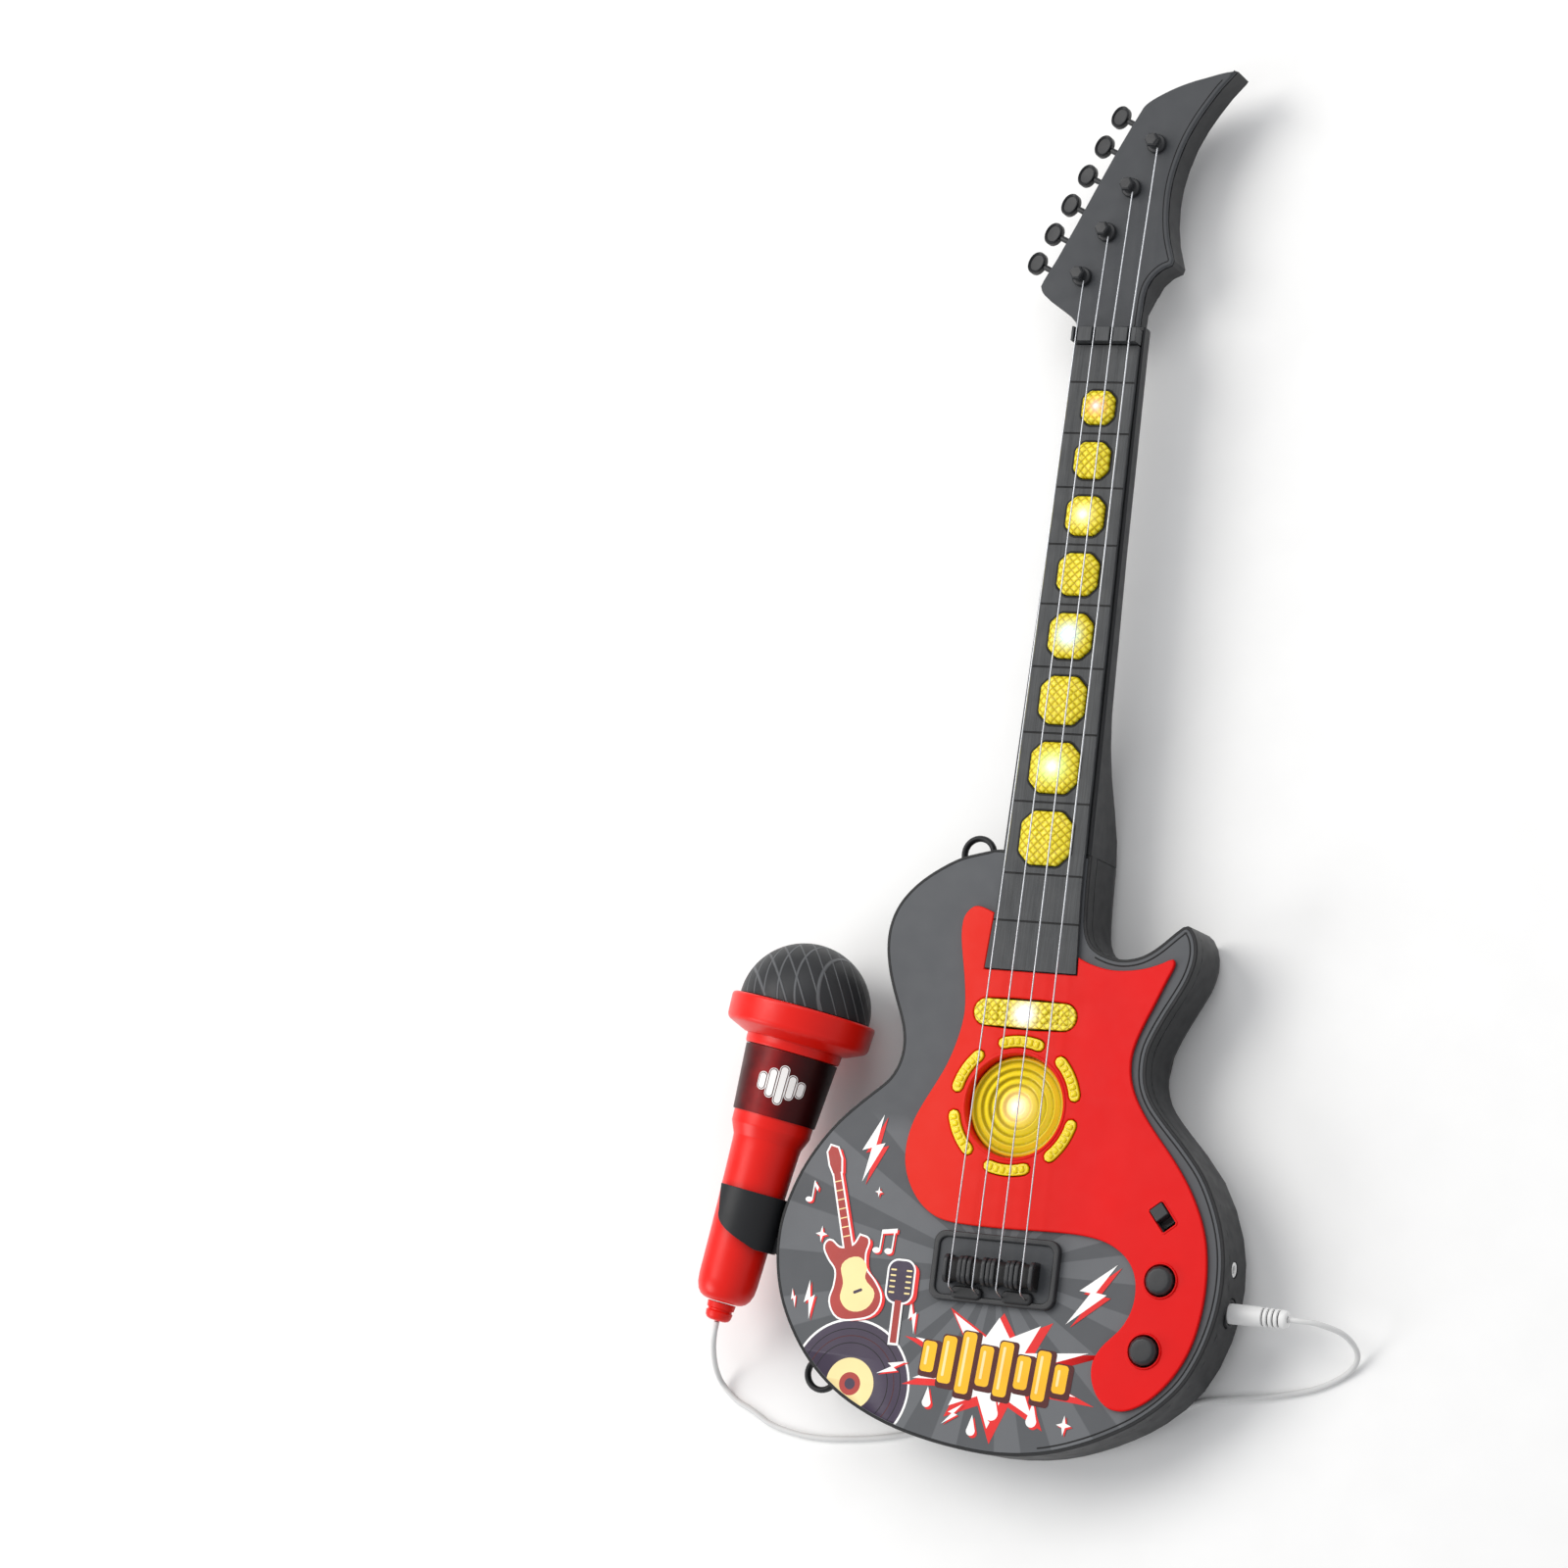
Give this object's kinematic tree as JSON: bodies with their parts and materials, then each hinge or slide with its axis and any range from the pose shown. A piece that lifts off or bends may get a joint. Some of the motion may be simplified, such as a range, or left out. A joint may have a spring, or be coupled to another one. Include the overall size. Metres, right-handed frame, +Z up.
{
  "type": "toy electric guitar",
  "caption": "Child's toy electric guitar with light-up press keys, red panel, ring of yellow light lenses, bridge and buttons, and a clip-on microphone on a plug-in lead.",
  "frame": {"origin": "on the flat back, directly behind the middle of the round sound lens", "axes": "+X across the body towards the microphone socket side, +Y along the neck towards the headstock, +Z up out of the face"},
  "size_m": [0.2906, 0.6053, 0.065],
  "materials": {
    "body_face_plastic": "satin charcoal with fine texture",
    "body_rim_plastic": "satin near black",
    "black_plastic": "satin black",
    "speaker_cone": "matte paper cone and steel basket as one piece",
    "red_gloss_plastic": "gloss red",
    "yellow_lens_plastic": "translucent gloss yellow",
    "fingerboard_plastic": "satin slate with lengthwise brush marks",
    "graphite_plastic": "satin graphite",
    "steel": "bright wire",
    "white_plastic": "satin white",
    "cord_jacket": "soft satin light grey",
    "label_plastic": "printed maroon fading to black",
    "circuit_board": "green solder mask",
    "rubber_pad": "matte grey silicone",
    "battery_wrap": "printed sleeve"
  },
  "bodies": {
    "guitar_body": {"front_casing": "body_face_plastic", "head_cover": "body_face_plastic", "rear_casing": "body_rim_plastic", "neck_shell": "black_plastic", "strap_loop_upper": "black_plastic", "strap_loop_lower": "black_plastic", "mic_clip": "black_plastic", "jack_socket": "black_plastic", "speaker": "speaker_cone", "pickguard": "red_gloss_plastic", "disc_lens": "yellow_lens_plastic", "arc_lens_ring": "yellow_lens_plastic", "bar_lens": "yellow_lens_plastic", "fingerboard": "fingerboard_plastic", "nut": "fingerboard_plastic", "bridge_plate": "graphite_plastic", "bridge_saddle": "graphite_plastic", "tuner_key_1": "graphite_plastic", "tuner_key_2": "graphite_plastic", "tuner_key_3": "graphite_plastic", "tuner_key_4": "graphite_plastic", "tuner_key_5": "graphite_plastic", "tuner_key_6": "graphite_plastic", "string_post_1": "graphite_plastic", "string_post_2": "graphite_plastic", "string_post_3": "graphite_plastic", "string_post_4": "graphite_plastic", "string_1": "steel", "string_2": "steel", "string_3": "steel", "string_4": "steel", "aux_socket": "white_plastic", "mic_lead": "cord_jacket", "main_board": "circuit_board", "key_board": "circuit_board", "key_pad_strip": "rubber_pad", "battery_1": "battery_wrap", "battery_2": "battery_wrap", "battery_3": "battery_wrap"},
    "battery_door": {"battery_door": "body_rim_plastic", "door_screw": "steel"},
    "microphone": {"mic_grille": "graphite_plastic", "mic_collar": "red_gloss_plastic", "mic_capsule": "steel", "mic_handle": "red_gloss_plastic", "mic_label": "label_plastic", "mic_boot": "red_gloss_plastic"},
    "jack_plug": {"jack_plug": "white_plastic", "jack_pin": "steel"},
    "melody_button": {"melody_button": "graphite_plastic"},
    "volume_button": {"volume_button": "graphite_plastic"},
    "power_switch": {"power_switch": "graphite_plastic"},
    "fret_key_1": {"fret_key_1": "yellow_lens_plastic"},
    "fret_key_2": {"fret_key_2": "yellow_lens_plastic"},
    "fret_key_3": {"fret_key_3": "yellow_lens_plastic"},
    "fret_key_4": {"fret_key_4": "yellow_lens_plastic"},
    "fret_key_5": {"fret_key_5": "yellow_lens_plastic"},
    "fret_key_6": {"fret_key_6": "yellow_lens_plastic"},
    "fret_key_7": {"fret_key_7": "yellow_lens_plastic"},
    "fret_key_8": {"fret_key_8": "yellow_lens_plastic"}
  },
  "joints": [
    {"name": "fret_key_1_press", "type": "slide", "parent": "guitar_body", "child": "fret_key_1", "axis": [0, 0, -1], "range_m": [0, 0.0015], "stiffness_N_per_m": 350, "springref_m": -0.001},
    {"name": "fret_key_2_press", "type": "slide", "parent": "guitar_body", "child": "fret_key_2", "axis": [0, 0, -1], "range_m": [0, 0.0015], "stiffness_N_per_m": 350, "springref_m": -0.001},
    {"name": "fret_key_3_press", "type": "slide", "parent": "guitar_body", "child": "fret_key_3", "axis": [0, 0, -1], "range_m": [0, 0.0015], "stiffness_N_per_m": 350, "springref_m": -0.001},
    {"name": "fret_key_4_press", "type": "slide", "parent": "guitar_body", "child": "fret_key_4", "axis": [0, 0, -1], "range_m": [0, 0.0015], "stiffness_N_per_m": 350, "springref_m": -0.001},
    {"name": "fret_key_5_press", "type": "slide", "parent": "guitar_body", "child": "fret_key_5", "axis": [0, 0, -1], "range_m": [0, 0.0015], "stiffness_N_per_m": 350, "springref_m": -0.001},
    {"name": "fret_key_6_press", "type": "slide", "parent": "guitar_body", "child": "fret_key_6", "axis": [0, 0, -1], "range_m": [0, 0.0015], "stiffness_N_per_m": 350, "springref_m": -0.001},
    {"name": "fret_key_7_press", "type": "slide", "parent": "guitar_body", "child": "fret_key_7", "axis": [0, 0, -1], "range_m": [0, 0.0015], "stiffness_N_per_m": 350, "springref_m": -0.001},
    {"name": "fret_key_8_press", "type": "slide", "parent": "guitar_body", "child": "fret_key_8", "axis": [0, 0, -1], "range_m": [0, 0.0015], "stiffness_N_per_m": 350, "springref_m": -0.001},
    {"name": "melody_button_press", "type": "slide", "parent": "guitar_body", "child": "melody_button", "axis": [0, 0, -1], "range_m": [0, 0.0016], "stiffness_N_per_m": 400, "springref_m": -0.001},
    {"name": "volume_button_press", "type": "slide", "parent": "guitar_body", "child": "volume_button", "axis": [0, 0, -1], "range_m": [0, 0.0016], "stiffness_N_per_m": 400, "springref_m": -0.001},
    {"name": "power_switch_slide", "type": "slide", "parent": "guitar_body", "child": "power_switch", "axis": [0.6428, -0.766, 0], "range_m": [0, 0.005]},
    {"name": "battery_door_lift", "type": "slide", "parent": "guitar_body", "child": "battery_door", "axis": [0, 0, -1], "range_m": [0, 0.02]},
    {"name": "microphone_unclip", "type": "slide", "parent": "guitar_body", "child": "microphone", "axis": [-0.987, 0.1606, 0], "range_m": [0, 0.06], "deforming": ["mic_clip", "mic_lead"]},
    {"name": "jack_plug_pull", "type": "slide", "parent": "guitar_body", "child": "jack_plug", "axis": [1, 0, 0], "range_m": [0, 0.014], "deforming": ["mic_lead"]}
  ]
}
